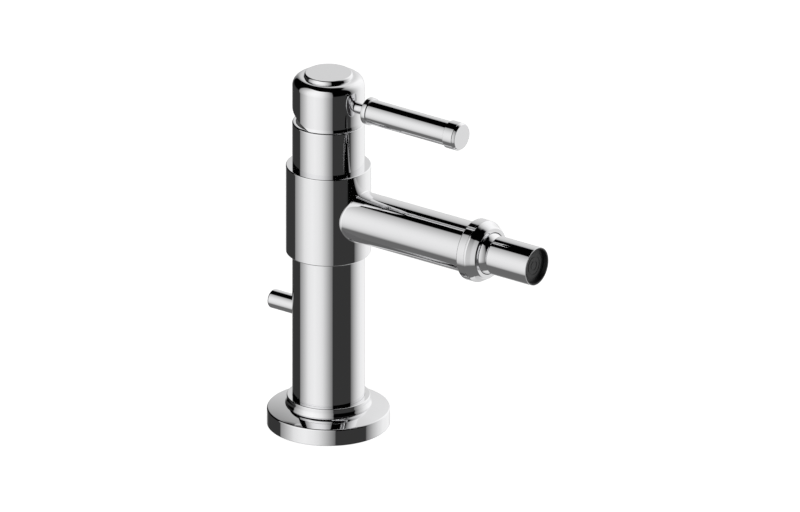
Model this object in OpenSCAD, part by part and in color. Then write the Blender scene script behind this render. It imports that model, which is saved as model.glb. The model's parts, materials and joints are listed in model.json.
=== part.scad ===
// Single-lever bidet mixer: a slim round column with a collared spout, a swivelling outlet nozzle,
// a side lever on a domed cap and a rear rocker for the pop-up waste.
// Millimetres, +Z up, spout along +X, origin on the column's axis at the deck.

/* [Column] */
// Outer diameter of the column, the neck and the handle cap
column_d = 33; // [31:0.5:37]
// Wall of the column tube and of the neck sleeve
column_wall = 2; // [1.6:0.1:2.2]
// Height of the collar's lower edge above the deck
collar_z = 84.6; // [80:0.1:110]
// Height of the collar
collar_h = 42.5; // [38:0.1:60]
// Wall of the collar
collar_wall = 2.9; // [2.2:0.1:4]
// Height of the neck between the collar and the handle
neck_h = 21.2; // [19:0.1:30]
// Radius on the collar's outer edges
collar_edge = 0.4; // [0.2:0.1:0.8]

/* [Base] */
// Diameter of the base flange
flange_d = 56; // [52:0.5:66]
// Height of the flange's upright rim
flange_rim_h = 7.8; // [5:0.1:10]
// Rise of the flange's sloping top from rim to foot ring
flange_rise = 2.1; // [1:0.1:4]
// Radius on the flange's rim
flange_edge = 0.6; // [0.3:0.1:1.5]
// Height of the foot ring on the flange
foot_ring_h = 4.3; // [3:0.1:8]
// Wall of the foot ring at its top
foot_ring_wall = 2.5; // [2:0.1:4]
// Spread of the foot ring from its top to its foot
foot_ring_flare = 0.7; // [0.2:0.1:1.2]
// Thickness of the gasket under the flange
gasket_h = 2; // [1:0.1:3]
// Width of the gasket
gasket_w = 6; // [3:0.1:7]
// Height of the fixing insert in the column's foot
insert_h = 16; // [14:0.5:24]
// Thread hole for the fixing stud, across its wall
stud_hole_d = 6.8; // [5:0.1:6.8]
// Way for each supply hose
hose_way_d = 11.2; // [10.4:0.1:12]

/* [Spout] */
// Outer diameter of the spout tube
spout_d = 23.6; // [23:0.1:25]
// Wall of the spout tube
spout_wall = 3.4; // [2.8:0.1:4]
// Reach of the spout tube from the column's axis
spout_reach = 82.2; // [60:0.1:120]

/* [Swivel nozzle] */
// Diameter of the socket ring at the spout's end
socket_d = 28.8; // [28.4:0.1:34]
// Width of the socket ring
socket_w = 4.1; // [3.6:0.1:6]
// Diameter of the retaining nut in front of the ring
nut_d = 23.6; // [22.4:0.1:24.4]
// Width of the retaining nut that shows
nut_w = 5.3; // [4.8:0.1:6]
// Diameter of the swivel ball
ball_d = 21.2; // [20.8:0.1:21.4]
// Diameter of the nozzle
nozzle_d = 18; // [17.6:0.1:19]
// Length of the nozzle
nozzle_len = 22.1; // [20:0.1:30]
// Gap between the retaining nut and the nozzle
nozzle_gap = 3.5; // [3.2:0.1:6]
// Wall of the nozzle at its mouth
nozzle_wall = 0.6; // [0.5:0.1:0.9]
// Depth of the aerator's face inside the mouth
aerator_recess = 0.9; // [0.4:0.1:2]

/* [Handle] */
// Gap between the neck and the handle cap
cap_gap = 0.5; // [0.4:0.1:1]
// Height of the handle cap
cap_h = 21.6; // [20:0.1:26]
// Wall of the handle cap
cap_wall = 1.9; // [1.5:0.1:2.5]
// Radius of the handle cap's shoulder
cap_shoulder = 4.3; // [2:0.1:5]
// Lift of the lever from closed to full flow, in degrees
lever_lift = 22; // [15:1:22]
// Slope of the relief under the back of the cap, in degrees
cap_relief = 25; // [24:1:30]
// Diameter of the button on the cap
button_d = 22.6; // [18:0.1:24]
// Height of the button
button_h = 1.7; // [1.2:0.1:3]
// Height of the lever's axis above the cap's lower edge
lever_rise = 10.1; // [9:0.1:10.6]
// Reach of the lever's end from the column's axis
lever_reach = 75.1; // [60:0.1:110]
// Start of the lever's grip from the column's axis
grip_start = 22.3; // [20:0.1:30]
// Diameter of the lever's grip
grip_d = 11.5; // [9:0.1:14]
// Diameter of the ring at the grip's start
grip_ring_d = 12.8; // [12:0.1:16]
// Diameter of the lever's end piece
lever_end_d = 13; // [12:0.1:16]
// Length of the lever's end piece
lever_end_len = 6.5; // [4.5:0.1:9]
// Diameter of the lever's stem
stem_d = 5.4; // [4.6:0.1:5.8]

/* [Pop-up control] */
// Diameter of the rear knob
knob_d = 8.8; // [8:0.1:9.6]
// Height of the rear knob's axis above the deck
knob_z = 53.3; // [48:0.1:56]
// Reach of the rear knob from the column's axis
knob_reach = 31.5; // [27:0.1:40]
// Diameter of the lift rod
rod_d = 5; // [4.6:0.1:5.6]
// Tilt of the rear knob each way, in degrees
knob_swing = 15; // [8:1:15]

/* [Cartridge] */
// Diameter of the cartridge
cartridge_d = 24.8; // [24:0.1:25]
// Thickness of the cartridge's base plate
plate_h = 2.9; // [2.5:0.1:4]
// Thickness of each ceramic disc
disc_h = 3; // [2.5:0.1:4]
// Diameter of the inlet threads in the valve body, across their wall
inlet_d = 9; // [8:0.1:9.4]
// Length of the inlet threads
inlet_len = 10; // [8:0.5:14]
// Radius of the arm from the lever's pivot to the ball that drives the ceramic disc
drive_arm = 8.9; // [8.4:0.1:9.4]

/* [Hidden] */
$fn = 96;

chrome = "silver";
brass = "goldenrod";
rubber = "dimgray";
nylon = "gainsboro";
ceramic = "white";
steel = "lightsteelblue";
dark_plastic = "darkslategray";

// Clearances: static fits, turning fits, and the overshoot of a cut past a face
fit = 0.05;
run = 0.1;
cut = 1;

// Column and base
column_r = column_d / 2;
bore_r = column_r - column_wall;
collar_r = column_r + collar_wall;
collar_top = collar_z + collar_h;
neck_top = collar_top + neck_h;
spout_z = collar_z + collar_h / 2;
flange_r = flange_d / 2;
foot_ring_r = column_r + foot_ring_wall;
foot_ring_z = flange_rim_h + flange_rise;
gasket_margin = 2;
gasket_r = flange_r - gasket_margin;
ring_foot_h = 0.5;
ring_waist_h = 1.9;
ring_edge = 0.35;
tube_foot_z = 1;
insert_top = tube_foot_z + insert_h;
hose_x = 1;
hose_y = 7.4;
stud_x = -9.6;

// Pop-up control: the knob rocks on a pin just inside the column's wall and lifts the rod at its far end
knob_r = knob_d / 2;
pivot_inset = 2.7;
pivot_x = -(bore_r - pivot_inset);
rod_x = 9.2;
rod_arm = rod_x - pivot_x;
rod_r = rod_d / 2;
rod_lift = rod_arm * sin(knob_swing);
rod_guide = 4;
rod_foot_z = insert_top - rod_lift - rod_guide;
rod_thread_d = 3.3;
rod_thread_len = 8;
rod_head_r = 4.2;
rod_head_h = 8.4;
arm_r = 1.3;
arm_ball_r = 2.4;
arm_gap = 0.2;
arm_root = 1.6;
pivot_pin_r = 1.25;
knob_hub = 5.8;
knob_edge = 0.9;
bracket_rim = 3.6;
bracket_nose = 2.3;
bracket_r = knob_r + bracket_rim;
bracket_front = pivot_x + bracket_nose;
slot_gap = 0.2;
swing_gap = 0.4;
knob_swing_room = (column_r + pivot_x) * sin(knob_swing) + knob_r * (1 / cos(knob_swing) - 1);
bracket_bore_r = knob_r + pivot_inset * sin(knob_swing) + swing_gap;

// Spout and swivel nozzle
spout_r = spout_d / 2;
spout_bore_r = spout_r - spout_wall;
mouth_wall = 1.5;
spout_mouth_r = spout_r - mouth_wall;
socket_back = 1.8;
socket_back_edge = 0.5;
socket_floor = spout_reach + socket_back;
socket_r = socket_d / 2;
socket_front = spout_reach + socket_w;
nut_front = socket_front + nut_w;
nut_r = nut_d / 2;
ball_r = ball_d / 2;
// The nut's skirt takes this share of the room between the ball and the ring's outside
skirt_share = 0.676;
nut_thread_r = ball_r + run + skirt_share * (socket_r - ball_r - run);
// The nut's taper breaks at this share of its fall from the ring to the face
taper_share = 0.52;
nut_step_r = nut_r + taper_share * (socket_r - nut_r);
nut_rim_w = 1;
nut_step_w = 3;
// The spout's end is turned down to this share of the room between its mouth and the ring's outside
tail_share = 0.3;
spout_tail_r = spout_mouth_r + tail_share * (socket_r - spout_mouth_r);
nut_lip_r = 0.3;
nut_lip_w = 0.4;
nut_face_step = 0.2;
ball_ahead = 0.7;
ball_x = socket_front + ball_ahead;
ball_back_share = 0.84;
ball_back = ball_back_share * ball_r;
ball_gap = 0.3;
nut_mouth_r = sqrt(pow(ball_r, 2) - pow(nut_front - ball_x, 2)) + ball_gap;
neck_room = 2.4;
ball_neck_r = nut_mouth_r - neck_room;
spigot_step = 0.4;
ball_spigot_r = ball_neck_r - spigot_step;
ball_bore_r = 4.2;
seat_hole_r = 5.9;
seat_r = spout_mouth_r - run;
seat_share = 0.6;
seat_front = ball_x - seat_share * ball_r;
seat_len = 2.9;
seat_back = seat_front - seat_len;
seat_oring_r = 0.6;
seat_floor = seat_back - 2 * seat_oring_r - fit;
nozzle_x = nut_front + nozzle_gap;
nozzle_end = nozzle_x + nozzle_len;
nozzle_r = nozzle_d / 2;
nozzle_bore_r = nozzle_r - nozzle_wall;
nozzle_back = 2.8;
nozzle_back_edge = 0.4;
nozzle_rim_edge = 0.25;
aerator_face = nozzle_end - aerator_recess;
aerator_len = 11;
aerator_back = aerator_face - aerator_len;
aerator_r = nozzle_bore_r - fit;
aerator_wall = 1.1;
aerator_face_h = 1.8;
screen_h = 1;
jet_rows = 3;
jet_pitch = 2.1;
jet_w = 0.5;
jet_hole_r = 0.9;
jet_webs = 3;
jet_web_w = 1.2;
washer_h = 1.2;
washer_floor = aerator_back - washer_h;

// Cartridge, stacked up from the floor of its chamber
cartridge_r = cartridge_d / 2;
body_r = bore_r - fit;
cap_z = neck_top + cap_gap;
pivot_drop = 4.8;
pivot_z = cap_z - pivot_drop;
drive_z = pivot_z - drive_arm;
carrier_drop = 3.6;
carrier_z = drive_z - carrier_drop;
disc_z = carrier_z - disc_h;
fixed_disc_z = disc_z - fit - disc_h;
chamber_z = fixed_disc_z - plate_h;
carrier_h = 3.5;
carrier_top = carrier_z + carrier_h;
turret_gap = 0.3;
turret_z = carrier_top + turret_gap;
turret_flange_h = 1;
turret_r = 8.4;
turret_over = 2.7;
turret_top = pivot_z + turret_over;
turret_neck_h = 5.7;
housing_top = turret_z + turret_flange_h + turret_neck_h;
neck_lip_room = 1.3;
neck_lip_w = 2.4;
neck_edge = 0.7;
body_top = neck_top - neck_lip_room;
nut_top = body_top - run;
nut_seat_step = 1;
nut_seat_r = cartridge_r + nut_seat_step;
neck_lip_h = neck_lip_room - run;
neck_rim_w = 1.6;
glide_h = 0.6;
glide_r = column_r - neck_rim_w;
cap_flare = 0.35;
cap_flare_h = 1.6;
body_drop = 14.3;
body_foot_z = collar_z - body_drop;
inlet_bore_r = 3;
outlet_x = 7;
outlet_r = 3.2;
spout_way_r = 5;
seal_r = 0.65;
seal_spread = collar_h / 3;
housing_wall = 1.8;
disc_r = cartridge_r - housing_wall;
slide_room = 2;
slide_r = disc_r - slide_room;
slide_rim = 2.4;
slide_hollow = 1.5;
carrier_inset = 0.4;
rib_gap = 0.2;
plate_way_r = 2.2;
plate_seat_r = 3.4;
plate_seat_h = 1.2;
plate_seal_r = 2.8;
plate_seal_s = 0.55;
disc_way_r = 2;
slide_offset = -drive_arm * sin(lever_lift) / 2;
slot_y = 3.6;
spindle_r = 3.4;
spindle_pin_r = 1.25;
drive_ball_r = 2.4;
drive_neck_r = 1.9;
drive_gap = 0.25;
spindle_foot = 4;
pin_inset = 0.9;

// Handle
cap_top = cap_z + cap_h;
lever_z = cap_z + lever_rise;
hub_r = 9;
hub_rise = 4.7;
hub_z = cap_z + hub_rise;
roof_drop = 5.2;
cap_roof = cap_top - roof_drop;
relief_x = 1.5;
stem_r = stem_d / 2;
stem_root = 5.5;
grip_r = grip_d / 2;
grip_ring_r = grip_ring_d / 2;
grip_ring_len = 2.5;
grip_ring_edge = 0.2;
stem_socket = 4;
lever_end_r = lever_end_d / 2;
lever_end_x = lever_reach - lever_end_len;
end_spigot_r = 3;
end_spigot_len = 4;
button_r = button_d / 2;
button_spigot_r = 7.9;
button_spigot_h = 2;
screw_r = 2;
screw_head_r = 3.5;
screw_head_h = 3.2;
screw_head_gap = 0.6;
screw_tip_gap = 0.6;
screw_reach = 4.6;
screw_web = 2.6;
screw_key_r = 1.4;
screw_key_h = 1.8;
screw_seat = cap_top - button_spigot_h - screw_head_h - screw_head_gap;
screw_foot_z = pivot_z + screw_reach;
spindle_top = screw_seat - screw_web;
button_bevel = 0.4;
grip_back_edge = 0.4;
end_chamfer = 1.7;
end_chamfer_in = 0.7;

// Lays a shape that was turned about Z along +X, from x, at height z
module along_x(x, z) {
    translate([x, 0, z]) rotate([0, 90, 0]) children();
}

// Ring of inner radius a and outer radius b, standing from z to z + h
module ring(a, b, z, h) {
    translate([0, 0, z]) difference() {
        cylinder(r = b, h = h);
        translate([0, 0, -cut]) cylinder(r = a, h = h + 2 * cut);
    }
}

// Solid turned part of radius r and height h with a radius e on its top edge and d on its foot
module turned(r, h, e = 0, d = 0) {
    rotate_extrude() {
        translate([0, d]) square([r, h - e - d]);
        square([r - d, h - e]);
        translate([0, d]) square([r - e, h - d]);
        if (e > 0) translate([r - e, h - e]) intersection() {
            circle(e);
            square(e);
        }
        if (d > 0) translate([r - d, d]) mirror([0, 1]) intersection() {
            circle(d);
            square(d);
        }
    }
}

// O-ring of mean radius r and section radius s, its plane at height z
module oring(r, s, z) {
    translate([0, 0, z]) rotate_extrude() translate([r, 0]) circle(s);
}

// Hole in the +X direction from x, at height z
module hole_x(r, x, z, len) {
    along_x(x, z) cylinder(r = r, h = len);
}

// Pin or hole along Y through the point x, z
module bar_y(r, x, z, len) {
    translate([x, len / 2, z]) rotate([90, 0, 0]) cylinder(r = r, h = len);
}

// Both hose positions
module at_hoses() {
    for (side = [-1, 1]) translate([hose_x, side * hose_y, 0]) children();
}

// BASE AND COLUMN

module base_gasket() {
    color(rubber) ring(gasket_r - gasket_w, gasket_r, 0, gasket_h);
}

module base_flange() {
    color(chrome) difference() {
        rotate_extrude() {
            square([flange_r, flange_rim_h - flange_edge]);
            translate([flange_r - flange_edge, flange_rim_h - flange_edge]) intersection() {
                circle(flange_edge);
                square(flange_edge);
            }
            polygon([
                [0, 0], [flange_r - flange_edge, 0], [flange_r - flange_edge, flange_rim_h],
                [foot_ring_r + foot_ring_flare, foot_ring_z], [0, foot_ring_z]
            ]);
        }
        translate([0, 0, -cut]) cylinder(r = column_r + fit, h = foot_ring_z + 2 * cut);
        ring(gasket_r - gasket_w - fit, gasket_r + fit, -cut, gasket_h + cut);
    }
}

module foot_ring() {
    color(chrome) translate([0, 0, foot_ring_z]) rotate_extrude() polygon([
        [column_r + fit, 0], [foot_ring_r + foot_ring_flare, 0],
        [foot_ring_r + foot_ring_flare, ring_foot_h], [foot_ring_r, ring_waist_h],
        [foot_ring_r, foot_ring_h - ring_edge], [foot_ring_r - ring_edge, foot_ring_h],
        [column_r + fit, foot_ring_h]
    ]);
}

module column_tube() {
    color(chrome) difference() {
        ring(bore_r, column_r, tube_foot_z, collar_z - tube_foot_z);
        for (side = [-1, 1])
            hole_x(knob_r + slot_gap, -column_r - cut, knob_z + side * knob_swing_room, column_r);
        translate([-column_r - cut, -knob_r - slot_gap, knob_z - knob_swing_room])
            cube([column_r, 2 * (knob_r + slot_gap), 2 * knob_swing_room]);
    }
}

module base_insert() {
    color(brass) difference() {
        translate([0, 0, tube_foot_z]) cylinder(r = bore_r - fit, h = insert_h);
        at_hoses() cylinder(d = hose_way_d, h = insert_top + cut);
        translate([stud_x, 0, 0]) cylinder(d = stud_hole_d, h = insert_top + cut);
        translate([rod_x, 0, 0]) cylinder(r = rod_r + fit, h = insert_top + cut);
    }
}

// POP-UP CONTROL

module popup_knob() {
    hub_end = pivot_x + knob_hub;
    color(chrome) difference() {
        translate([hub_end, 0, knob_z]) rotate([0, -90, 0]) turned(knob_r, knob_reach + hub_end, knob_edge);
        bar_y(pivot_pin_r + fit, pivot_x, knob_z, knob_d + cut);
        hole_x(arm_r + fit, pivot_x + arm_root, knob_z, knob_reach);
    }
}

module popup_arm() {
    color(brass) {
        hole_x(arm_r, pivot_x + arm_root + fit, knob_z, rod_arm - arm_root - fit);
        translate([rod_x, 0, knob_z]) sphere(r = arm_ball_r);
    }
}

module popup_pivot_pin() {
    color(steel) intersection() {
        bar_y(pivot_pin_r, pivot_x, knob_z, 2 * bracket_r);
        translate([0, 0, knob_z - knob_d]) cylinder(r = bore_r - fit, h = 2 * knob_d);
    }
}

module popup_bracket() {
    color(brass) difference() {
        intersection() {
            hole_x(bracket_r, -column_r, knob_z, column_r + bracket_front);
            translate([0, 0, knob_z - column_r]) cylinder(r = bore_r - fit, h = column_d);
        }
        hole_x(bracket_bore_r, -column_r - cut, knob_z, column_r + bracket_front + 2 * cut);
        bar_y(pivot_pin_r + fit / 2, pivot_x, knob_z, 2 * bracket_r + cut);
    }
}

module lift_rod() {
    head_z = knob_z - rod_head_h / 2;
    color(brass) translate([rod_x, 0, 0]) difference() {
        union() {
            translate([0, 0, rod_foot_z]) cylinder(r = rod_r, h = head_z - rod_foot_z);
            translate([0, 0, head_z]) cylinder(r = rod_head_r, h = rod_head_h);
        }
        translate([-rod_head_r - cut, -arm_ball_r - arm_gap, knob_z - arm_ball_r - arm_gap])
            cube([2 * (rod_head_r + cut), 2 * (arm_ball_r + arm_gap), 2 * (arm_ball_r + arm_gap)]);
        translate([0, 0, rod_foot_z - cut]) cylinder(d = rod_thread_d, h = rod_thread_len + cut);
    }
}

// VALVE BODY, COLLAR AND SPOUT

module valve_body() {
    color(brass) difference() {
        union() {
            translate([0, 0, body_foot_z]) cylinder(r = body_r, h = body_top - body_foot_z);
            translate([0, 0, collar_z]) cylinder(r = column_r - fit, h = collar_h);
        }
        translate([0, 0, chamber_z]) cylinder(r = cartridge_r + run, h = neck_top - chamber_z);
        translate([0, 0, housing_top]) cylinder(r = nut_seat_r + fit, h = neck_top - housing_top);
        at_hoses() {
            translate([0, 0, body_foot_z - cut]) cylinder(d = inlet_d, h = inlet_len + cut);
            translate([0, 0, body_foot_z]) cylinder(r = inlet_bore_r, h = chamber_z - body_foot_z + cut);
        }
        translate([outlet_x, 0, spout_z]) cylinder(r = outlet_r, h = chamber_z - spout_z + cut);
        hole_x(spout_way_r, outlet_x - outlet_r, spout_z, column_r);
        for (side = [-1, 1]) ring(
            column_r - 2 * seal_r - fit, column_r + cut,
            spout_z + side * seal_spread - seal_r - fit, 2 * (seal_r + fit)
        );
    }
}

module collar_seals() {
    color(rubber) for (side = [-1, 1])
        oring(column_r - seal_r - fit / 2, seal_r - fit / 2, spout_z + side * seal_spread);
}

module spout_collar() {
    color(chrome) difference() {
        translate([0, 0, collar_z]) turned(collar_r, collar_h, collar_edge, collar_edge);
        translate([0, 0, collar_z - cut]) cylinder(r = column_r, h = collar_h + 2 * cut);
        hole_x(spout_bore_r, 0, spout_z, collar_r + cut);
    }
}

module spout_tube() {
    color(chrome) difference() {
        union() {
            hole_x(spout_r, column_r - collar_wall, spout_z, spout_reach - fit - column_r + collar_wall);
            hole_x(spout_tail_r, column_r, spout_z, socket_floor - column_r);
        }
        hole_x(spout_bore_r, 0, spout_z, spout_reach + socket_w);
        hole_x(spout_mouth_r, seat_floor, spout_z, spout_reach);
        translate([0, 0, spout_z - spout_d]) cylinder(r = collar_r + fit / 2, h = 2 * spout_d);
    }
}

// SWIVEL NOZZLE

module swivel_socket() {
    color(chrome) difference() {
        along_x(spout_reach, spout_z) turned(socket_r, socket_w, 0, socket_back_edge);
        hole_x(spout_tail_r + fit, 0, spout_z, nut_front);
        hole_x(nut_thread_r + fit, socket_floor, spout_z, nut_front);
    }
}

// Profile of the retaining nut: the threaded skirt, the rim, two tapers and the seat for the ball
module swivel_nut() {
    skirt_len = socket_front - socket_floor - fit;
    back_len = ball_x - socket_front + skirt_len;
    color(chrome) along_x(socket_front, spout_z) rotate_extrude() difference() {
        polygon([
            [0, -skirt_len], [nut_thread_r, -skirt_len], [nut_thread_r, 0], [socket_r, 0],
            [socket_r, nut_rim_w], [nut_step_r, nut_step_w], [nut_r + nut_lip_r, nut_w - nut_lip_w],
            [nut_r - nut_face_step, nut_w], [0, nut_w]
        ]);
        translate([0, ball_x - socket_front]) circle(ball_r + run);
        translate([0, -skirt_len - cut]) square([ball_r + run, back_len + cut]);
        square([nut_mouth_r, nut_w + cut]);
    }
}

module swivel_ball() {
    color(chrome) along_x(ball_x, spout_z) rotate_extrude() difference() {
        union() {
            intersection() {
                circle(ball_r);
                translate([0, -ball_back]) square([ball_d, ball_d]);
            }
            square([ball_neck_r, nozzle_x - ball_x]);
            square([ball_spigot_r, nozzle_x + nozzle_back - ball_x]);
        }
        translate([0, -ball_d]) square([ball_bore_r, 3 * ball_d]);
        translate([-ball_d, -ball_d]) square([ball_d, 3 * ball_d]);
    }
}

module ball_seat() {
    color(nylon) along_x(seat_back, spout_z) rotate_extrude() difference() {
        square([seat_r, seat_front - seat_back]);
        square([seat_hole_r, seat_front]);
        translate([0, ball_x - seat_back]) circle(ball_r + fit);
    }
}

module seat_oring() {
    along_x(seat_floor + seat_oring_r + fit / 2, spout_z)
        color(rubber) oring(seat_r - seat_oring_r - fit, seat_oring_r, 0);
}

module nozzle_tube() {
    color(chrome) difference() {
        along_x(nozzle_x, spout_z) turned(nozzle_r, nozzle_len, nozzle_rim_edge, nozzle_back_edge);
        hole_x(ball_spigot_r + fit, 0, spout_z, nozzle_end);
        hole_x(nozzle_bore_r, washer_floor, spout_z, nozzle_len);
    }
}

// Aerator with ring slots in its face, held together by webs
module aerator_housing() {
    color(dark_plastic) difference() {
        hole_x(aerator_r, aerator_back, spout_z, aerator_len);
        hole_x(aerator_r - aerator_wall, aerator_back - cut, spout_z, aerator_len - aerator_face_h + cut);
        hole_x(jet_hole_r, aerator_back, spout_z, aerator_len + cut);
        along_x(aerator_back, spout_z) difference() {
            for (row = [1:jet_rows])
                ring(row * jet_pitch - jet_w / 2, row * jet_pitch + jet_w / 2, 0, aerator_len + cut);
            for (n = [0:jet_webs - 1]) rotate(n * 360 / jet_webs)
                translate([0, -jet_web_w / 2, -cut]) cube([aerator_r, jet_web_w, aerator_len + 3 * cut]);
        }
    }
}

module aerator_screen() {
    color(steel)
        hole_x(aerator_r - aerator_wall - fit, aerator_face - aerator_face_h - screen_h, spout_z, screen_h);
}

module aerator_washer() {
    color(rubber) along_x(washer_floor, spout_z) ring(ball_bore_r, aerator_r, 0, washer_h);
}

// NECK AND CARTRIDGE

module neck_sleeve() {
    color(chrome) difference() {
        translate([0, 0, collar_top]) turned(column_r, neck_h, neck_edge);
        translate([0, 0, collar_top - cut]) cylinder(r = bore_r, h = neck_h - neck_lip_h + cut);
        translate([0, 0, collar_top]) cylinder(r = bore_r - neck_lip_w, h = neck_h + cut);
        translate([0, 0, neck_top - glide_h]) cylinder(r = glide_r, h = glide_h + cut);
    }
}

// Slip ring under the handle cap, in the step of the neck's rim
module glide_ring() {
    color(dark_plastic) ring(bore_r - neck_lip_w, glide_r - fit, neck_top - glide_h, glide_h - run);
}

module cartridge_nut() {
    notch_w = 3;
    notch_h = 2;
    color(brass) difference() {
        ring(turret_r + 2 * run, nut_seat_r, housing_top, nut_top - housing_top);
        for (turn = [0:60:150]) rotate(turn)
            translate([-nut_seat_r - cut, -notch_w / 2, nut_top - notch_h])
                cube([2 * (nut_seat_r + cut), notch_w, notch_h + cut]);
    }
}

module cartridge_housing() {
    plate_top = fixed_disc_z;
    color(nylon) difference() {
        translate([0, 0, plate_top]) cylinder(r = cartridge_r, h = housing_top - plate_top);
        translate([0, 0, plate_top - cut])
            cylinder(r = disc_r + run, h = turret_z + turret_flange_h + run - plate_top + cut);
        translate([0, 0, plate_top]) cylinder(r = turret_r + run, h = housing_top - plate_top + cut);
    }
}

// Both inlet ways and the outlet way through the cartridge's plate or disc
module water_ways(r, z, h) {
    at_hoses() translate([0, 0, z]) cylinder(r = r, h = h);
    translate([outlet_x, 0, z]) cylinder(r = r, h = h);
}

module cartridge_plate() {
    color(nylon) difference() {
        translate([0, 0, chamber_z]) cylinder(r = cartridge_r, h = plate_h);
        water_ways(plate_way_r, chamber_z - cut, plate_h + 2 * cut);
        water_ways(plate_seat_r, chamber_z - cut, plate_seat_h + cut);
    }
}

module cartridge_seals() {
    seal_z = chamber_z + plate_seal_s + fit / 2;
    color(rubber) {
        at_hoses() oring(plate_seal_r, plate_seal_s, seal_z);
        translate([outlet_x, 0, 0]) oring(plate_seal_r, plate_seal_s, seal_z);
    }
}

module fixed_disc() {
    color(ceramic) difference() {
        translate([0, 0, fixed_disc_z]) cylinder(r = disc_r, h = disc_h);
        water_ways(disc_way_r, fixed_disc_z - cut, disc_h + 2 * cut);
    }
}

module moving_disc() {
    color(ceramic) translate([slide_offset, 0, 0]) difference() {
        translate([0, 0, disc_z]) cylinder(r = slide_r, h = disc_h);
        translate([0, 0, disc_z - cut]) cylinder(r = slide_r - slide_rim, h = slide_hollow + cut);
    }
}

module disc_carrier() {
    rib_h = 1.6;
    rib_back = 4.5;
    rib_front = 3;
    ball_socket_r = drive_ball_r + drive_gap;
    ball_socket_z = drive_z - drive_ball_r - carrier_inset;
    rib_wall = 0.9;
    color(nylon) difference() {
        union() {
            translate([slide_offset, 0, carrier_z]) cylinder(r = slide_r - carrier_inset, h = carrier_h);
            translate([-rib_back, -slot_y + rib_gap, carrier_top - cut])
                cube([rib_back + rib_front, 2 * (slot_y - rib_gap), rib_h + cut]);
        }
        translate([0, 0, ball_socket_z]) cylinder(r = ball_socket_r, h = carrier_h + rib_h + cut);
        translate([rib_wall - rib_back, -ball_socket_r, drive_z + carrier_inset])
            cube([rib_back - rib_wall, 2 * ball_socket_r, carrier_h + rib_h]);
    }
}

module spindle_turret() {
    slot_back = 5.4;
    slot_front = 7;
    color(nylon) difference() {
        union() {
            translate([0, 0, turret_z]) cylinder(r = turret_r, h = turret_top - turret_z);
            translate([0, 0, turret_z]) cylinder(r = disc_r - run, h = turret_flange_h);
        }
        translate([-slot_back, -slot_y, turret_z - cut])
            cube([slot_back + slot_front, 2 * slot_y, turret_top - turret_z + 2 * cut]);
        bar_y(spindle_pin_r + fit / 2, 0, pivot_z, 2 * turret_r + cut);
    }
}

module spindle_pin() {
    color(steel) bar_y(spindle_pin_r, 0, pivot_z, 2 * (turret_r - pin_inset));
}

module lever_spindle() {
    color(steel) difference() {
        union() {
            translate([0, 0, drive_z]) sphere(r = drive_ball_r);
            translate([0, 0, drive_z]) cylinder(r = drive_neck_r, h = pivot_z - drive_z);
            translate([0, 0, pivot_z - spindle_foot])
                cylinder(r = spindle_r, h = spindle_top - pivot_z + spindle_foot);
        }
        bar_y(spindle_pin_r + fit, 0, pivot_z, 2 * spindle_r + cut);
        translate([0, 0, screw_foot_z - screw_tip_gap]) cylinder(r = screw_r + fit, h = spindle_top);
    }
}

// HANDLE

module handle_cap() {
    color(chrome) difference() {
        union() {
            difference() {
                union() {
                    translate([0, 0, cap_z]) turned(column_r, cap_h, cap_shoulder);
                    translate([0, 0, cap_z])
                        cylinder(r1 = column_r + cap_flare, r2 = column_r, h = cap_flare_h);
                }
                translate([0, 0, cap_z - cut]) cylinder(r = column_r - cap_wall, h = cap_roof - cap_z + cut);
            }
            translate([0, 0, hub_z]) cylinder(r = hub_r, h = cap_top - hub_z - cap_shoulder);
        }
        translate([relief_x, 0, cap_z]) rotate([0, cap_relief, 0])
            translate([-2 * column_d, -column_d, -column_d]) cube([2 * column_d, 2 * column_d, column_d]);
        translate([0, 0, hub_z - cut]) cylinder(r = spindle_r + fit, h = spindle_top - hub_z + cut + fit);
        translate([0, 0, hub_z]) cylinder(r = screw_r + fit, h = cap_h);
        translate([0, 0, screw_seat]) cylinder(r = screw_head_r + run, h = cap_h);
        translate([0, 0, cap_top - button_spigot_h - fit]) cylinder(r = button_spigot_r + fit, h = cap_h);
        hole_x(stem_r + fit, stem_root, lever_z, column_r);
    }
}

module handle_screw() {
    color(steel) difference() {
        union() {
            translate([0, 0, screw_seat]) cylinder(r = screw_head_r, h = screw_head_h);
            translate([0, 0, screw_foot_z]) cylinder(r = screw_r, h = screw_seat - screw_foot_z);
        }
        translate([0, 0, screw_seat + screw_head_h - screw_key_h])
            cylinder(r = screw_key_r, h = screw_head_h, $fn = 6);
    }
}

module top_button() {
    color(chrome) {
        translate([0, 0, cap_top]) rotate_extrude() {
            polygon([
                [0, 0], [button_r, 0], [button_r - button_bevel, button_h - button_bevel],
                [button_r - 2 * button_bevel, button_h], [0, button_h]
            ]);
        }
        translate([0, 0, cap_top - button_spigot_h]) cylinder(r = button_spigot_r, h = button_spigot_h);
    }
}

module lever_stem() {
    color(chrome) hole_x(stem_r, stem_root, lever_z, grip_start + stem_socket - stem_root);
}

module lever_grip() {
    grip_len = lever_end_x - grip_start;
    color(chrome) difference() {
        along_x(grip_start, lever_z) union() {
            turned(grip_ring_r, grip_ring_len, grip_ring_edge, grip_back_edge);
            translate([0, 0, grip_back_edge]) cylinder(r = grip_r, h = grip_len - grip_back_edge);
        }
        hole_x(stem_r + fit, grip_start - cut, lever_z, stem_socket + cut);
        hole_x(end_spigot_r + fit, lever_end_x - end_spigot_len, lever_z, end_spigot_len + cut);
    }
}

module lever_end_cap() {
    color(chrome) {
        along_x(lever_end_x, lever_z) rotate_extrude() polygon([
            [0, 0], [lever_end_r, 0], [lever_end_r, lever_end_len - end_chamfer],
            [lever_end_r - end_chamfer_in, lever_end_len], [0, lever_end_len]
        ]);
        hole_x(end_spigot_r, lever_end_x - end_spigot_len + fit, lever_z, end_spigot_len);
    }
}

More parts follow.
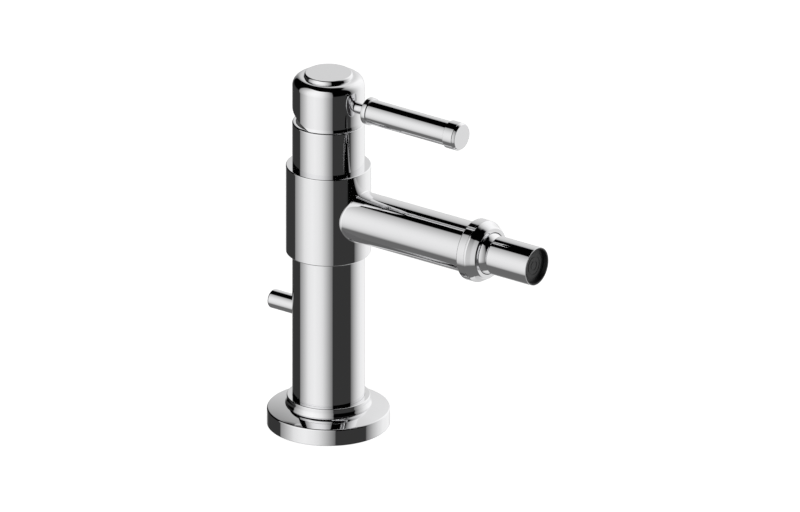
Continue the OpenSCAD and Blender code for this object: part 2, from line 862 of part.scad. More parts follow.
base_gasket();
base_flange();
foot_ring();
column_tube();
base_insert();
popup_knob();
popup_arm();
popup_pivot_pin();
popup_bracket();
lift_rod();
valve_body();
collar_seals();
spout_collar();
spout_tube();
swivel_socket();
swivel_nut();
swivel_ball();
ball_seat();
seat_oring();
nozzle_tube();
aerator_housing();
aerator_screen();
aerator_washer();
neck_sleeve();
glide_ring();
cartridge_nut();
cartridge_housing();
cartridge_plate();
cartridge_seals();
fixed_disc();
moving_disc();
disc_carrier();
spindle_turret();
spindle_pin();
lever_spindle();
handle_cap();
handle_screw();
top_button();
lever_stem();
lever_grip();
lever_end_cap();
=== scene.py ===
# Bidet mixer: the polished pieces are turned again with fine edges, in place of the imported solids,
# then lit and framed as in the photo
import json
import math

import bmesh
import bpy
from mathutils import Matrix, Vector


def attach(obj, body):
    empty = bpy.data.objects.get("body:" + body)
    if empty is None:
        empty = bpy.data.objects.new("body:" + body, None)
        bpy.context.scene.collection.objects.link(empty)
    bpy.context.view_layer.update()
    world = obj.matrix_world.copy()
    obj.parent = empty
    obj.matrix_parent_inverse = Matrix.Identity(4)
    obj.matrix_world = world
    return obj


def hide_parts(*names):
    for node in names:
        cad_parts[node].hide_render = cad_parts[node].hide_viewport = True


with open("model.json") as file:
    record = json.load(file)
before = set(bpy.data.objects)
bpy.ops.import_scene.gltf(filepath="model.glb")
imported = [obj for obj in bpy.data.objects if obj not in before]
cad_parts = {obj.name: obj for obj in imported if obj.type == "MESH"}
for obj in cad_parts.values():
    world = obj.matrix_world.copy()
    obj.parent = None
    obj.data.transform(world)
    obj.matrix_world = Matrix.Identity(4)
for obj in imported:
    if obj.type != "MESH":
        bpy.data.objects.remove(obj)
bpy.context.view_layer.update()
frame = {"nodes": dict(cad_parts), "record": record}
print("frame loaded:", len(frame["nodes"]), "nodes")

mm = 0.001
upAxis = "z"
spoutAxis = "x"


# helpers for materials


def linear(hexColour):
    channels = [int(hexColour[i:i + 2], 16) / 255 for i in (1, 3, 5)]
    return tuple(c / 12.92 if c <= 0.04045 else ((c + 0.055) / 1.055) ** 2.4 for c in channels) + (1.0,)


def perMetre(sizeMm):
    return 1 / (sizeMm * mm)


def addNode(tree, kind, settings=None, inputs=None):
    node = tree.nodes.new(kind)
    for name, value in (settings or {}).items():
        setattr(node, name, value)
    for socket, value in (inputs or {}).items():
        if isinstance(value, bpy.types.NodeSocket):
            tree.links.new(value, node.inputs[socket])
        else:
            node.inputs[socket].default_value = value
    return node


def newMaterial(name):
    material = bpy.data.materials.new(name)
    material.use_nodes = True
    tree = material.node_tree
    tree.nodes.clear()
    shader = addNode(tree, "ShaderNodeBsdfPrincipled")
    addNode(tree, "ShaderNodeOutputMaterial", None, {"Surface": shader.outputs["BSDF"]})
    place = addNode(tree, "ShaderNodeTexCoord").outputs["Object"]
    return material, tree, shader, place


# Bright chrome plate on polished brass: a clear mirror with a faint haze left by the polishing wheel
chromeLook = {"colour": "#EBEBEC", "clear": 0.022, "hazy": 0.05, "hazeMm": 9, "hazeDetail": 4,
              "hazeBreak": 0.6, "hazeFrom": 0.35, "hazeTo": 0.75}


def makeChrome():
    look = chromeLook
    material, tree, shader, place = newMaterial("brightChromePlate")
    shader.inputs["Base Color"].default_value = linear(look["colour"])
    shader.inputs["Metallic"].default_value = 1
    haze = addNode(tree, "ShaderNodeTexNoise", None,
                   {"Vector": place, "Scale": perMetre(look["hazeMm"]), "Detail": look["hazeDetail"],
                    "Roughness": look["hazeBreak"]})
    spread = addNode(tree, "ShaderNodeMapRange", None,
                     {"Value": haze.outputs["Fac"], "From Min": look["hazeFrom"], "From Max": look["hazeTo"],
                      "To Min": look["clear"], "To Max": look["hazy"]})
    tree.links.new(spread.outputs["Result"], shader.inputs["Roughness"])
    return material


# Machined brass: a warm metal with the rings that the cutter leaves
# They are drawn coarser than real ones, so that they show
brassLook = {"colour": "#C9A45C", "dark": "#A9813F", "grainMm": 1.2, "grainDetail": 3, "ringMm": 3.77,
             "ringWaver": 0.4, "ringStrength": 0.15, "ringDepthMm": 0.02, "rough": 0.28}
waveTurn = 2 * math.pi / 20  # a wave texture of scale 1 repeats at this length


def makeBrass():
    look = brassLook
    material, tree, shader, place = newMaterial("machinedBrass")
    shader.inputs["Metallic"].default_value = 1
    grain = addNode(tree, "ShaderNodeTexNoise", None,
                    {"Vector": place, "Scale": perMetre(look["grainMm"]), "Detail": look["grainDetail"]})
    tone = addNode(tree, "ShaderNodeMix", {"data_type": "RGBA"},
                   {"Factor": grain.outputs["Fac"], "A": linear(look["colour"]), "B": linear(look["dark"])})
    rings = addNode(tree, "ShaderNodeTexWave", {"bands_direction": "Z"},
                    {"Vector": place, "Scale": perMetre(look["ringMm"]) * waveTurn,
                     "Distortion": look["ringWaver"]})
    bump = addNode(tree, "ShaderNodeBump", None,
                   {"Height": rings.outputs["Fac"], "Strength": look["ringStrength"],
                    "Distance": look["ringDepthMm"] * mm})
    tree.links.new(tone.outputs["Result"], shader.inputs["Base Color"])
    tree.links.new(bump.outputs["Normal"], shader.inputs["Normal"])
    shader.inputs["Roughness"].default_value = look["rough"]
    return material


# Materials with one moulded, turned or lapped grain: two close tones and a bump of the grain's own size
grainedLooks = {
    # matt black seals
    "mouldedRubber": {"colour": "#1C1C1D", "other": "#262627", "grainMm": 0.5, "depthMm": 0.02,
                      "rough": 0.72, "metal": 0},
    # off-white plastic with a soft sheen
    "mouldedAcetal": {"colour": "#E4E2DB", "other": "#D8D5CC", "grainMm": 0.9, "depthMm": 0.01,
                      "rough": 0.42, "metal": 0},
    # ivory discs, lapped almost to a gloss
    "lappedAlumina": {"colour": "#F0EDE4", "other": "#E6E2D6", "grainMm": 0.4, "depthMm": 0.002,
                      "rough": 0.18, "metal": 0},
    # grey metal with a fine turned surface
    "turnedSteel": {"colour": "#C4C7CB", "other": "#AEB2B7", "grainMm": 0.7, "depthMm": 0.006,
                    "rough": 0.3, "metal": 1},
    # near-black plastic with a soft sheen
    "mouldedDarkAcetal": {"colour": "#1D1E20", "other": "#161718", "grainMm": 0.6, "depthMm": 0.01,
                          "rough": 0.38, "metal": 0},
}
grainNoise = {"detail": 3, "strength": 0.5}


def makeGrained(name):
    look = grainedLooks[name]
    material, tree, shader, place = newMaterial(name)
    grain = addNode(tree, "ShaderNodeTexNoise", None,
                    {"Vector": place, "Scale": perMetre(look["grainMm"]), "Detail": grainNoise["detail"]})
    tone = addNode(tree, "ShaderNodeMix", {"data_type": "RGBA"},
                   {"Factor": grain.outputs["Fac"], "A": linear(look["colour"]), "B": linear(look["other"])})
    bump = addNode(tree, "ShaderNodeBump", None,
                   {"Height": grain.outputs["Fac"], "Strength": grainNoise["strength"],
                    "Distance": look["depthMm"] * mm})
    tree.links.new(tone.outputs["Result"], shader.inputs["Base Color"])
    tree.links.new(bump.outputs["Normal"], shader.inputs["Normal"])
    shader.inputs["Roughness"].default_value = look["rough"]
    shader.inputs["Metallic"].default_value = look["metal"]
    return material


slotMaterials = {
    "chrome": makeChrome(),
    "brass": makeBrass(),
    "rubber": makeGrained("mouldedRubber"),
    "nylon": makeGrained("mouldedAcetal"),
    "ceramic": makeGrained("lappedAlumina"),
    "steel": makeGrained("turnedSteel"),
    "dark_plastic": makeGrained("mouldedDarkAcetal"),
}

slotOf = {row["node"]: row["material_slot"] for row in frame["record"]["subparts"]}
for node, slot in slotOf.items():
    solid = frame["nodes"][node]
    solid.data.materials.clear()
    solid.data.materials.append(slotMaterials[slot])
print("materials made:", len(slotMaterials))


# helpers for pieces

smoothAngle = math.radians(32)
turnSteps = 192
edgeSegments = 6
mergeMm = 0.0005


def finishMesh(bm, name):
    bmesh.ops.remove_doubles(bm, verts=bm.verts, dist=mergeMm * mm)
    bmesh.ops.recalc_face_normals(bm, faces=bm.faces)
    mesh = bpy.data.meshes.new(name)
    bm.to_mesh(mesh)
    bm.free()
    piece = bpy.data.objects.new(name, mesh)
    bpy.context.scene.collection.objects.link(piece)
    return piece


def shadePiece(piece):
    piece.data.shade_smooth()
    piece.data.set_sharp_from_angle(angle=smoothAngle)
    weighted = piece.modifiers.new("flatFaces", "WEIGHTED_NORMAL")
    weighted.keep_sharp = True
    weighted.weight = 100


def layAlongX(bm):
    bmesh.ops.rotate(bm, verts=bm.verts, cent=(0, 0, 0), matrix=Matrix.Rotation(math.pi / 2, 3, "Y"))


def turnRound(bm):
    bmesh.ops.spin(bm, geom=bm.verts[:] + bm.edges[:], cent=(0, 0, 0), axis=(0, 0, 1), angle=2 * math.pi,
                   steps=turnSteps, use_merge=True)


def turnProfile(profile, axis, height=0):
    # profile rows are radius, place along the axis, and rounding of that corner, in mm
    bm = bmesh.new()
    corners = [bm.verts.new((row[0] * mm, 0, row[1] * mm)) for row in profile]
    bm.faces.new(corners)
    for corner, row in zip(corners, profile):
        if len(row) > 2:
            bmesh.ops.bevel(bm, geom=[corner], offset=row[2] * mm, offset_type="OFFSET",
                            segments=edgeSegments, profile=0.5, affect="VERTICES", material=-1)
    bmesh.ops.delete(bm, geom=bm.faces[:], context="FACES_ONLY")
    turnRound(bm)
    if axis == spoutAxis:
        layAlongX(bm)
    bmesh.ops.translate(bm, verts=bm.verts, vec=(0, 0, height * mm))
    return bm


def cutPiece(piece, cutter):
    cut = piece.modifiers.new("cut", "BOOLEAN")
    cut.operation = "DIFFERENCE"
    cut.solver = "EXACT"
    cut.object = cutter
    result = piece.evaluated_get(bpy.context.evaluated_depsgraph_get())
    cutMesh = bpy.data.meshes.new_from_object(result)
    piece.modifiers.clear()
    piece.data = cutMesh
    bpy.data.objects.remove(cutter)


def dress(piece, node, body):
    piece.data.materials.clear()
    piece.data.materials.append(slotMaterials[slotOf[node]])
    shadePiece(piece)
    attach(piece, body)
    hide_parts(node)


# base flange and foot ring

base = {"boreR": 16.55, "rimR": 28, "rimH": 7.8, "rimEdge": 0.6, "topR": 19.7, "topZ": 9.9,
        "grooveIn": 19.95, "grooveOut": 26.05, "grooveH": 2.05, "footEdge": 0.25}
flange = finishMesh(turnProfile([
    (base["boreR"], 0), (base["grooveIn"], 0), (base["grooveIn"], base["grooveH"]),
    (base["grooveOut"], base["grooveH"]), (base["grooveOut"], 0), (base["rimR"], 0, base["footEdge"]),
    (base["rimR"], base["rimH"], base["rimEdge"]), (base["topR"], base["topZ"]),
    (base["boreR"], base["topZ"]),
], upAxis), "flange")
dress(flange, "base_flange", "mixer_body")

ring = {"boreR": 16.55, "footZ": 9.9, "footR": 19.7, "footTopZ": 10.4, "footEdge": 0.12, "footTopEdge": 0.2,
        "waistR": 19, "waistZ": 11.8, "waistBlend": 0.7, "topZ": 14.2, "topEdge": 0.45}
footRing = finishMesh(turnProfile([
    (ring["boreR"], ring["footZ"]), (ring["footR"], ring["footZ"], ring["footEdge"]),
    (ring["footR"], ring["footTopZ"], ring["footTopEdge"]),
    (ring["waistR"], ring["waistZ"], ring["waistBlend"]), (ring["waistR"], ring["topZ"], ring["topEdge"]),
    (ring["boreR"], ring["topZ"]),
], upAxis), "footRing")
dress(footRing, "foot_ring", "mixer_body")

# column with the slot that the rear knob swings in

column = {"outR": 16.5, "inR": 14.5, "footZ": 1, "topZ": 84.6, "edge": 0.15, "slotR": 4.6, "slotX": -9,
          "slotZ": 53.3, "slotSwing": 1.372, "slotDeep": 12, "slotSides": 64}
tube = finishMesh(turnProfile([
    (column["inR"], column["footZ"]), (column["outR"], column["footZ"], column["edge"]),
    (column["outR"], column["topZ"], column["edge"]), (column["inR"], column["topZ"]),
], upAxis), "columnTube")
slotBm = bmesh.new()
bmesh.ops.create_circle(slotBm, cap_ends=True, segments=column["slotSides"], radius=column["slotR"] * mm)
for vert in slotBm.verts:
    vert.co.x += math.copysign(column["slotSwing"] * mm, vert.co.x)
wall = bmesh.ops.extrude_face_region(slotBm, geom=slotBm.faces[:])
bmesh.ops.translate(slotBm, verts=[g for g in wall["geom"] if isinstance(g, bmesh.types.BMVert)],
                    vec=(0, 0, column["slotDeep"] * mm))
bmesh.ops.rotate(slotBm, verts=slotBm.verts, cent=(0, 0, 0), matrix=Matrix.Rotation(-math.pi / 2, 3, "Y"))
bmesh.ops.translate(slotBm, verts=slotBm.verts, vec=(column["slotX"] * mm, 0, column["slotZ"] * mm))
cutPiece(tube, finishMesh(slotBm, "slotCutter"))
dress(tube, "column_tube", "mixer_body")

# rear knob

knob = {"r": 4.4, "endX": -31.5, "endEdge": 0.9, "hubX": -6, "hubEdge": 0.2, "boreR": 1.35, "boreX": -10.2,
        "z": 53.3}
rearKnob = finishMesh(turnProfile([
    (0, knob["endX"]), (knob["r"], knob["endX"], knob["endEdge"]),
    (knob["r"], knob["hubX"], knob["hubEdge"]), (knob["boreR"], knob["hubX"]),
    (knob["boreR"], knob["boreX"]), (0, knob["boreX"]),
], spoutAxis, knob["z"]), "rearKnob")
dress(rearKnob, "popup_knob", "popup_lever")
print("base, column and knob made")

# collar and neck

collar = {"inR": 16.5, "outR": 19.4, "footZ": 84.6, "topZ": 127.1, "edge": 0.5}
spoutCollar = finishMesh(turnProfile([
    (collar["inR"], collar["footZ"]), (collar["outR"], collar["footZ"], collar["edge"]),
    (collar["outR"], collar["topZ"], collar["edge"]), (collar["inR"], collar["topZ"]),
], upAxis), "spoutCollar")
dress(spoutCollar, "spout_collar", "mixer_body")

neck = {"outR": 16.5, "inR": 14.5, "lipR": 12.1, "footZ": 127.1, "lipZ": 147.1, "topZ": 148.3, "edge": 0.7,
        "stepR": 14.9, "stepZ": 147.7, "stepEdge": 0.15}
neckSleeve = finishMesh(turnProfile([
    (neck["inR"], neck["footZ"]), (neck["outR"], neck["footZ"]), (neck["outR"], neck["topZ"], neck["edge"]),
    (neck["stepR"], neck["topZ"], neck["stepEdge"]), (neck["stepR"], neck["stepZ"]),
    (neck["lipR"], neck["stepZ"]), (neck["lipR"], neck["lipZ"]), (neck["inR"], neck["lipZ"]),
], upAxis), "neckSleeve")
dress(neckSleeve, "neck_sleeve", "mixer_body")

# spout: its root sits on the collar's round wall with a small fillet

spout = {"z": 105.85, "r": 11.8, "boreR": 8.4, "mouthR": 10.3, "mouthX": 76.49, "shoulderX": 82.15,
         "tailR": 11.53, "endX": 84, "middleX": 40, "startX": 17.4, "rootSink": 0.05,
         # swell of the radius, lift off the collar
         "filletRings": [(0.55, 0.0), (0.22, 0.16), (0.06, 0.36), (0.0, 0.62)]}
spoutBm = bmesh.new()
ringVerts = bmesh.ops.create_circle(spoutBm, segments=turnSteps, radius=spout["r"] * mm)["verts"]
ringEdges = spoutBm.edges[:]
layAlongX(spoutBm)


def atRadius(vert, radius):
    return Vector((0, vert.co.y, vert.co.z)).normalized() * radius * mm


def sitOnCollar(verts, radius, lift):
    for vert in verts:
        flat = atRadius(vert, radius)
        onWall = math.sqrt((collar["outR"] * mm) ** 2 - flat.y ** 2)
        vert.co = (onWall + lift * mm, flat.y, flat.z)


def nextRing(bm, edges):
    made = bmesh.ops.extrude_edge_only(bm, edges=edges)["geom"]
    return ([g for g in made if isinstance(g, bmesh.types.BMVert)],
            [g for g in made if isinstance(g, bmesh.types.BMEdge)])


for number, (swell, lift) in enumerate(spout["filletRings"]):
    if number:
        ringVerts, ringEdges = nextRing(spoutBm, ringEdges)
    sitOnCollar(ringVerts, spout["r"] + swell, lift - spout["rootSink"])
for radius, along in ((spout["r"], spout["middleX"]), (spout["r"], spout["shoulderX"]),
                      (spout["tailR"], spout["shoulderX"]), (spout["tailR"], spout["endX"]),
                      (spout["mouthR"], spout["endX"]), (spout["mouthR"], spout["mouthX"]),
                      (spout["boreR"], spout["mouthX"]), (spout["boreR"], spout["startX"])):
    ringVerts, ringEdges = nextRing(spoutBm, ringEdges)
    for vert in ringVerts:
        flat = atRadius(vert, radius)
        vert.co = (along * mm, flat.y, flat.z)
bmesh.ops.bridge_loops(spoutBm, edges=[edge for edge in spoutBm.edges if edge.is_boundary])
bmesh.ops.translate(spoutBm, verts=spoutBm.verts, vec=(0, 0, spout["z"] * mm))
spoutTube = finishMesh(spoutBm, "spoutTube")
dress(spoutTube, "spout_tube", "mixer_body")
print("collar, neck and spout made")

# swivel: socket ring, retaining nut and ball

socket = {"z": 105.85, "r": 14.4, "backX": 82.2, "backEdge": 0.5, "frontX": 86.3, "seamEdge": 0.06,
          "floorX": 84, "tailR": 11.58, "threadR": 13.25}
socketRing = finishMesh(turnProfile([
    (socket["tailR"], socket["backX"]), (socket["r"], socket["backX"], socket["backEdge"]),
    (socket["r"], socket["frontX"], socket["seamEdge"]), (socket["threadR"], socket["frontX"]),
    (socket["threadR"], socket["floorX"]), (socket["tailR"], socket["floorX"]),
], spoutAxis, socket["z"]), "socketRing")
dress(socketRing, "swivel_socket", "mixer_body")

nut = {"z": 105.85, "backX": 84.05, "skirtR": 13.2, "frontX": 86.3, "seamEdge": 0.06,
       "rimR": 14.4, "rimX": 87.3, "rimEdge": 0.15, "stepR": 13.15, "stepX": 89.3, "stepEdge": 0.35,
       "lipR": 12.1, "lipX": 91.2, "lipEdge": 0.2, "faceR": 11.6, "faceX": 91.6, "faceEdge": 0.15,
       "mouthR": 9.85, "mouthEdge": 0.1, "throatR": 10.7, "throatX": 87.4}
swivelNut = finishMesh(turnProfile([
    (nut["throatR"], nut["backX"]), (nut["skirtR"], nut["backX"]), (nut["skirtR"], nut["frontX"]),
    (nut["rimR"], nut["frontX"], nut["seamEdge"]), (nut["rimR"], nut["rimX"], nut["rimEdge"]),
    (nut["stepR"], nut["stepX"], nut["stepEdge"]), (nut["lipR"], nut["lipX"], nut["lipEdge"]),
    (nut["faceR"], nut["faceX"], nut["faceEdge"]), (nut["mouthR"], nut["faceX"], nut["mouthEdge"]),
    (nut["throatR"], nut["throatX"]),
], spoutAxis, nut["z"]), "swivelNut")
dress(swivelNut, "swivel_nut", "mixer_body")

ball = {"z": 105.85, "x": 87, "r": 10.6, "backX": 78.096, "neckR": 7.45, "neckX": 95.1, "spigotR": 7.05,
        "spigotX": 97.9, "boreR": 4.2, "arcSteps": 40}
ballBm = bmesh.new()
fromAngle = math.acos((ball["backX"] - ball["x"]) / ball["r"])
toAngle = math.asin(ball["neckR"] / ball["r"])
arcStart = ballBm.verts.new((ball["r"] * math.sin(fromAngle) * mm, 0, ball["r"] * math.cos(fromAngle) * mm))
arc = bmesh.ops.spin(ballBm, geom=[arcStart], cent=(0, 0, 0), axis=(0, -1, 0), angle=fromAngle - toAngle,
                     steps=ball["arcSteps"])
arcEnd = [g for g in arc["geom_last"] if isinstance(g, bmesh.types.BMVert)][0]
outline = [arcEnd]
for radius, along in ((ball["neckR"], ball["neckX"]), (ball["spigotR"], ball["neckX"]),
                      (ball["spigotR"], ball["spigotX"]), (ball["boreR"], ball["spigotX"]),
                      (ball["boreR"], ball["backX"])):
    outline.append(ballBm.verts.new((radius * mm, 0, (along - ball["x"]) * mm)))
outline.append(arcStart)
for one, two in zip(outline, outline[1:]):
    ballBm.edges.new((one, two))
turnRound(ballBm)
layAlongX(ballBm)
bmesh.ops.translate(ballBm, verts=ballBm.verts, vec=(ball["x"] * mm, 0, ball["z"] * mm))
swivelBall = finishMesh(ballBm, "swivelBall")
dress(swivelBall, "swivel_ball", "nozzle")

# nozzle, and the aerator: a dark cup whose flange fills the mouth, with shallow rings round its face

nozzle = {"z": 105.85, "r": 9, "backX": 95.1, "backEdge": 0.4, "endX": 117.2, "rimEdge": 0.12,
          "mouthR": 8.72, "mouthX": 116.2, "boreR": 8.4, "floorX": 104.1, "spigotR": 7.1}
nozzleTube = finishMesh(turnProfile([
    (nozzle["spigotR"], nozzle["backX"]), (nozzle["r"], nozzle["backX"], nozzle["backEdge"]),
    (nozzle["r"], nozzle["endX"], nozzle["rimEdge"]), (nozzle["mouthR"], nozzle["endX"]),
    (nozzle["mouthR"], nozzle["mouthX"]), (nozzle["boreR"], nozzle["mouthX"]),
    (nozzle["boreR"], nozzle["floorX"]), (nozzle["spigotR"], nozzle["floorX"]),
], spoutAxis, nozzle["z"]), "nozzleTube")
dress(nozzleTube, "nozzle_tube", "nozzle")

aerator = {"backX": 105.3, "r": 8.35, "flangeX": 116.25, "flangeR": 8.67, "rimX": 117.05, "rimEdge": 0.12,
           "dishR": 8.1, "floorR": 7.8, "faceX": 115.4, "cupR": 7.25, "cupX": 114.5,
           "ringRadii": [6.3, 4.2, 2.1], "ringWide": 0.5, "ringDeep": 0.14}
aeratorRows = [
    (aerator["cupR"], aerator["backX"]), (aerator["r"], aerator["backX"]),
    (aerator["r"], aerator["flangeX"]), (aerator["flangeR"], aerator["flangeX"]),
    (aerator["flangeR"], aerator["rimX"], aerator["rimEdge"]),
    (aerator["dishR"], aerator["rimX"], aerator["rimEdge"]), (aerator["floorR"], aerator["faceX"]),
]
ringFloor = aerator["faceX"] - aerator["ringDeep"]
for radius in aerator["ringRadii"]:
    outer = radius + aerator["ringWide"] / 2
    inner = radius - aerator["ringWide"] / 2
    aeratorRows += [(outer, aerator["faceX"]), (outer, ringFloor),
                    (inner, ringFloor), (inner, aerator["faceX"])]
aeratorRows += [(0, aerator["faceX"]), (0, aerator["cupX"]), (aerator["cupR"], aerator["cupX"])]
aeratorCup = finishMesh(turnProfile(aeratorRows, spoutAxis, nozzle["z"]), "aeratorCup")
dress(aeratorCup, "aerator_housing", "nozzle")
print("swivel nozzle made")

# handle: cap with the relief under its back, button and lever

cap = {"r": 16.5, "inR": 14.6, "footZ": 148.8, "footEdge": 0.2, "flareR": 16.9, "flareZ": 150.35,
       "flareEdge": 0.08, "topZ": 170.4, "shoulder": 4.3, "roofZ": 165.2, "hubR": 9, "hubZ": 153.5,
       "recessR": 7.95, "recessZ": 168.35, "headR": 3.6, "headZ": 164.6, "screwR": 2.05,
       "spindleR": 3.45, "spindleZ": 162.05, "reliefX": 1.5, "reliefDeg": 25, "cutterSide": 80}
handleCap = finishMesh(turnProfile([
    (cap["inR"], cap["footZ"]), (cap["flareR"], cap["footZ"], cap["footEdge"]),
    (cap["r"], cap["flareZ"], cap["flareEdge"]), (cap["r"], cap["topZ"], cap["shoulder"]),
    (cap["recessR"], cap["topZ"]), (cap["recessR"], cap["recessZ"]), (cap["headR"], cap["recessZ"]),
    (cap["headR"], cap["headZ"]), (cap["screwR"], cap["headZ"]), (cap["screwR"], cap["spindleZ"]),
    (cap["spindleR"], cap["spindleZ"]), (cap["spindleR"], cap["hubZ"]), (cap["hubR"], cap["hubZ"]),
    (cap["hubR"], cap["roofZ"]), (cap["inR"], cap["roofZ"]),
], upAxis), "handleCap")
reliefBm = bmesh.new()
bmesh.ops.create_cube(reliefBm, size=cap["cutterSide"] * mm)
half = cap["cutterSide"] / 2 * mm
bmesh.ops.translate(reliefBm, verts=reliefBm.verts, vec=(-half, 0, -half))
bmesh.ops.rotate(reliefBm, verts=reliefBm.verts, cent=(0, 0, 0),
                 matrix=Matrix.Rotation(math.radians(cap["reliefDeg"]), 3, "Y"))
bmesh.ops.translate(reliefBm, verts=reliefBm.verts, vec=(cap["reliefX"] * mm, 0, cap["footZ"] * mm))
cutPiece(handleCap, finishMesh(reliefBm, "reliefCutter"))
dress(handleCap, "handle_cap", "handle")

button = {"footR": 11.3, "footZ": 170.4, "footEdge": 0.15, "bevelR": 10.9, "bevelZ": 171.7, "bevelEdge": 0.2,
          "topR": 10.5, "topZ": 172.1, "topEdge": 0.2, "spigotR": 7.9, "spigotZ": 168.4}
topButton = finishMesh(turnProfile([
    (0, button["spigotZ"]), (button["spigotR"], button["spigotZ"]), (button["spigotR"], button["footZ"]),
    (button["footR"], button["footZ"], button["footEdge"]),
    (button["bevelR"], button["bevelZ"], button["bevelEdge"]),
    (button["topR"], button["topZ"], button["topEdge"]), (0, button["topZ"]),
], upAxis), "topButton")
dress(topButton, "top_button", "handle")

lever = {"z": 158.9, "stemR": 2.7, "stemX": 5.5, "stemEndX": 26.3, "stemEdge": 0.2, "gripX": 22.3,
         "ringR": 6.4, "ringX": 24.8, "ringBack": 0.4, "ringEdge": 0.2, "gripR": 5.75, "gripCove": 0.25,
         "socketR": 2.75, "socketEdge": 0.2, "endX": 68.6, "endR": 6.5, "endBack": 0.15,
         "grooveX": 73.6, "grooveFloorX": 73.95, "grooveEndX": 74, "grooveDeep": 0.32, "tipR": 5.88,
         "tipX": 75.1, "tipEdge": 0.12, "spigotR": 3, "spigotX": 64.6, "spigotGap": 0.05}
leverStem = finishMesh(turnProfile([
    (0, lever["stemX"]), (lever["stemR"], lever["stemX"], lever["stemEdge"]),
    (lever["stemR"], lever["stemEndX"], lever["stemEdge"]), (0, lever["stemEndX"]),
], spoutAxis, lever["z"]), "leverStem")
dress(leverStem, "lever_stem", "handle")

holeR = lever["spigotR"] + lever["spigotGap"]
leverGrip = finishMesh(turnProfile([
    (lever["socketR"], lever["gripX"], lever["socketEdge"]),
    (lever["ringR"], lever["gripX"], lever["ringBack"]),
    (lever["ringR"], lever["ringX"], lever["ringEdge"]),
    (lever["gripR"], lever["ringX"], lever["gripCove"]),
    (lever["gripR"], lever["endX"]), (holeR, lever["endX"]), (holeR, lever["spigotX"]),
    (0, lever["spigotX"]), (0, lever["stemEndX"]), (lever["socketR"], lever["stemEndX"]),
], spoutAxis, lever["z"]), "leverGrip")
dress(leverGrip, "lever_grip", "handle")

spigotEndX = lever["spigotX"] + lever["spigotGap"]
leverEnd = finishMesh(turnProfile([
    (0, spigotEndX), (lever["spigotR"], spigotEndX), (lever["spigotR"], lever["endX"]),
    (lever["endR"], lever["endX"], lever["endBack"]), (lever["endR"], lever["grooveX"]),
    (lever["endR"] - lever["grooveDeep"], lever["grooveFloorX"]), (lever["endR"], lever["grooveEndX"]),
    (lever["tipR"], lever["tipX"], lever["tipEdge"]), (0, lever["tipX"]),
], spoutAxis, lever["z"]), "leverEnd")
dress(leverEnd, "lever_end_cap", "handle")
print("handle made")

# floor: white paper that glows for the camera alone, so that it adds no light

floorLook = {"size": 6, "dropMm": 0.05, "colour": "#F4F4F4", "rough": 0.9, "glow": 0.78}
floorBm = bmesh.new()
bmesh.ops.create_grid(floorBm, x_segments=1, y_segments=1, size=floorLook["size"] / 2)
bmesh.ops.translate(floorBm, verts=floorBm.verts, vec=(0, 0, -floorLook["dropMm"] * mm))
floor = finishMesh(floorBm, "floor")
floorMaterial, floorTree, floorShader = newMaterial("whitePaper")[:3]
floorShader.inputs["Base Color"].default_value = linear(floorLook["colour"])
floorShader.inputs["Roughness"].default_value = floorLook["rough"]
floorShader.inputs["Emission Color"].default_value = (1, 1, 1, 1)
floorRays = addNode(floorTree, "ShaderNodeLightPath")
shown = addNode(floorTree, "ShaderNodeMath", {"operation": "MULTIPLY"},
                {0: floorRays.outputs["Is Camera Ray"], 1: floorLook["glow"]})
floorTree.links.new(shown.outputs["Value"], floorShader.inputs["Emission Strength"])
floor.data.materials.append(floorMaterial)
floor.visible_glossy = False

# studio surround: two tall soft panels with dark cloth between them and above
# The chrome shows these, and not the white background, because they give it its dark and light bands

studio = {
    # azimuth in degrees, brightness
    "frontPanel": [(-157, 0.0), (-154.5, 0.32), (-146, 0.45), (-133, 0.67), (-122, 0.88), (-111, 0.96),
                   (-98, 1.0), (-82, 0.93), (-72, 0.83), (-63, 0.65), (-54, 0.46), (-45, 0.27),
                   (-41.5, 0.2), (-40, 0.0)],
    "backPanel": [(20, 0.0), (22, 0.18), (26, 0.28), (38, 0.55), (53, 0.81), (70, 0.98), (96, 1.01),
                  (114, 0.78), (122, 0.72), (128, 0.64), (133, 0.57), (138, 0.43), (143, 0.25),
                  (150, 0.12), (153, 0.0)],
    # elevation in degrees, share of the panel's brightness
    "frontRise": [(-44, 0.0), (-40, 0.3), (-33, 0.86), (-24, 1.0), (-16, 1.06), (8, 1.12), (22, 1.13),
                  (37, 1.09), (43, 1.07), (50, 1.12), (56.3, 1.12), (58.3, 0.0)],
    "backRise": [(-88, 0.8), (-40, 0.9), (-24, 1.0), (-16, 1.06), (8, 1.12), (22, 1.13), (37, 1.09),
                 (48, 0.95), (60, 0.6), (66, 0.0)],
    # azimuth that the panel faces, and the angle up its own plane at which its straight top edge ends it
    "frontFacing": -98.5,
    "frontTop": [(-90, 1.0), (63.4, 1.0), (65, 0.0)],
    "backFacing": 62.6,
    "backTop": [(-90, 1.0), (75.5, 1.0), (76.7, 0.0)],
    # elevation in degrees, brightness of the dark cloth
    "cloth": [(-80, 0.17), (-42, 0.16), (-26, 0.04), (-8, 0.04), (2, 0.0006), (90, 0.0006)],
}
world = bpy.data.worlds.new("studio")
bpy.context.scene.world = world
world.use_nodes = True
sky = world.node_tree
sky.nodes.clear()


def bandRamp(angle, low, high, rows):
    share = addNode(sky, "ShaderNodeMapRange", None,
                    {"Value": angle, "From Min": math.radians(low), "From Max": math.radians(high)})
    ramp = addNode(sky, "ShaderNodeValToRGB", None, {"Fac": share.outputs["Result"]})
    stops = ramp.color_ramp.elements
    while len(stops) < len(rows):
        stops.new(1.0)
    for stop, (degrees, level) in zip(stops, rows):
        stop.position = (degrees - low) / (high - low)
        stop.color = (level, level, level, 1)
    return ramp.outputs["Color"]


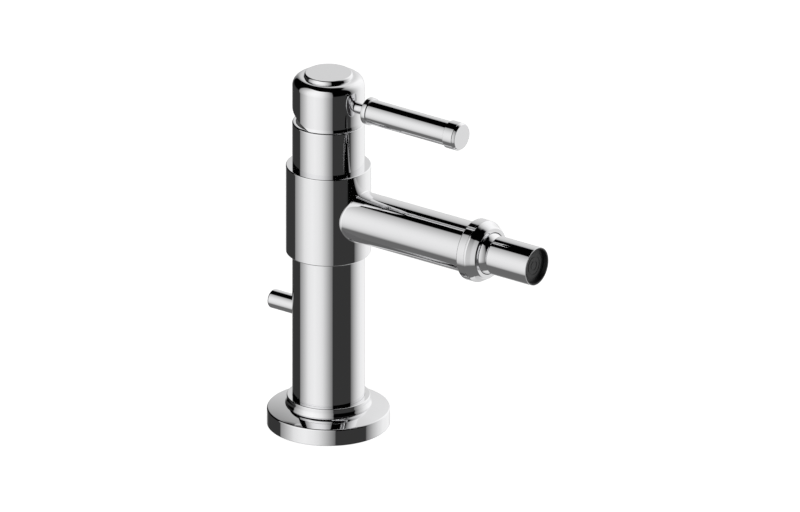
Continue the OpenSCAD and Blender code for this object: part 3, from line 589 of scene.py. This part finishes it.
way = addNode(sky, "ShaderNodeTexCoord").outputs["Generated"]
axes = addNode(sky, "ShaderNodeSeparateXYZ", None, {"Vector": way})
azimuth = addNode(sky, "ShaderNodeMath", {"operation": "ARCTAN2"},
                  {0: axes.outputs["Y"], 1: axes.outputs["X"]})
elevation = addNode(sky, "ShaderNodeMath", {"operation": "ARCSINE"}, {0: axes.outputs["Z"]})
surround = bandRamp(elevation.outputs["Value"], -90, 90, studio["cloth"])
for side in ("front", "back"):
    width = bandRamp(azimuth.outputs["Value"], -180, 180, studio[side + "Panel"])
    height = bandRamp(elevation.outputs["Value"], -90, 90, studio[side + "Rise"])
    facing = math.radians(studio[side + "Facing"])
    ahead = addNode(sky, "ShaderNodeVectorMath", {"operation": "DOT_PRODUCT"},
                    {0: way, 1: (math.cos(facing), math.sin(facing), 0)})
    climb = addNode(sky, "ShaderNodeMath", {"operation": "ARCTAN2"},
                    {0: axes.outputs["Z"], 1: ahead.outputs["Value"]})
    topEdge = bandRamp(climb.outputs["Value"], -90, 90, studio[side + "Top"])
    lit = addNode(sky, "ShaderNodeMix", {"data_type": "RGBA", "blend_type": "MULTIPLY"},
                  {"Factor": 1, "A": width, "B": height})
    panel = addNode(sky, "ShaderNodeMix", {"data_type": "RGBA", "blend_type": "MULTIPLY"},
                    {"Factor": 1, "A": lit.outputs["Result"], "B": topEdge})
    surround = addNode(sky, "ShaderNodeMix", {"data_type": "RGBA", "blend_type": "LIGHTEN"},
                       {"Factor": 1, "A": surround, "B": panel.outputs["Result"]}).outputs["Result"]
rays = addNode(sky, "ShaderNodeLightPath")
seen = addNode(sky, "ShaderNodeMix", {"data_type": "RGBA"},
               {"Factor": rays.outputs["Is Camera Ray"], "A": surround, "B": (1, 1, 1, 1)})
glow = addNode(sky, "ShaderNodeBackground", None, {"Color": seen.outputs["Result"], "Strength": 1})
addNode(sky, "ShaderNodeOutputWorld", None, {"Surface": glow.outputs["Background"]})
print("studio made")

# camera: the picture has no perspective, so this one has none either

shot = {"azimuthDeg": 36.3, "elevationDeg": 22.85, "pixelsPerMm": 2.206, "originAt": (328.5, 422.3),
        "picture": (800, 512), "far": 1.2}
turn = math.radians(shot["azimuthDeg"])
tip = math.radians(shot["elevationDeg"])
right = Vector((math.cos(turn), math.sin(turn), 0))
back = Vector((math.sin(turn) * math.cos(tip), -math.cos(turn) * math.cos(tip), math.sin(tip)))
over = back.cross(right)
camera = bpy.data.objects.new("camera", bpy.data.cameras.new("camera"))
bpy.context.scene.collection.objects.link(camera)
camera.data.type = "ORTHO"
camera.data.ortho_scale = shot["picture"][0] / shot["pixelsPerMm"] * mm
aside = (shot["picture"][0] / 2 - shot["originAt"][0]) / shot["pixelsPerMm"] * mm
above = (shot["originAt"][1] - shot["picture"][1] / 2) / shot["pixelsPerMm"] * mm
camera.location = right * aside + over * above + back * shot["far"]
camera.rotation_mode = "QUATERNION"
camera.rotation_quaternion = (-back).to_track_quat("-Z", "Y")
bpy.context.scene.camera = camera
bpy.context.scene.view_settings.view_transform = "Standard"

print("scene ready")
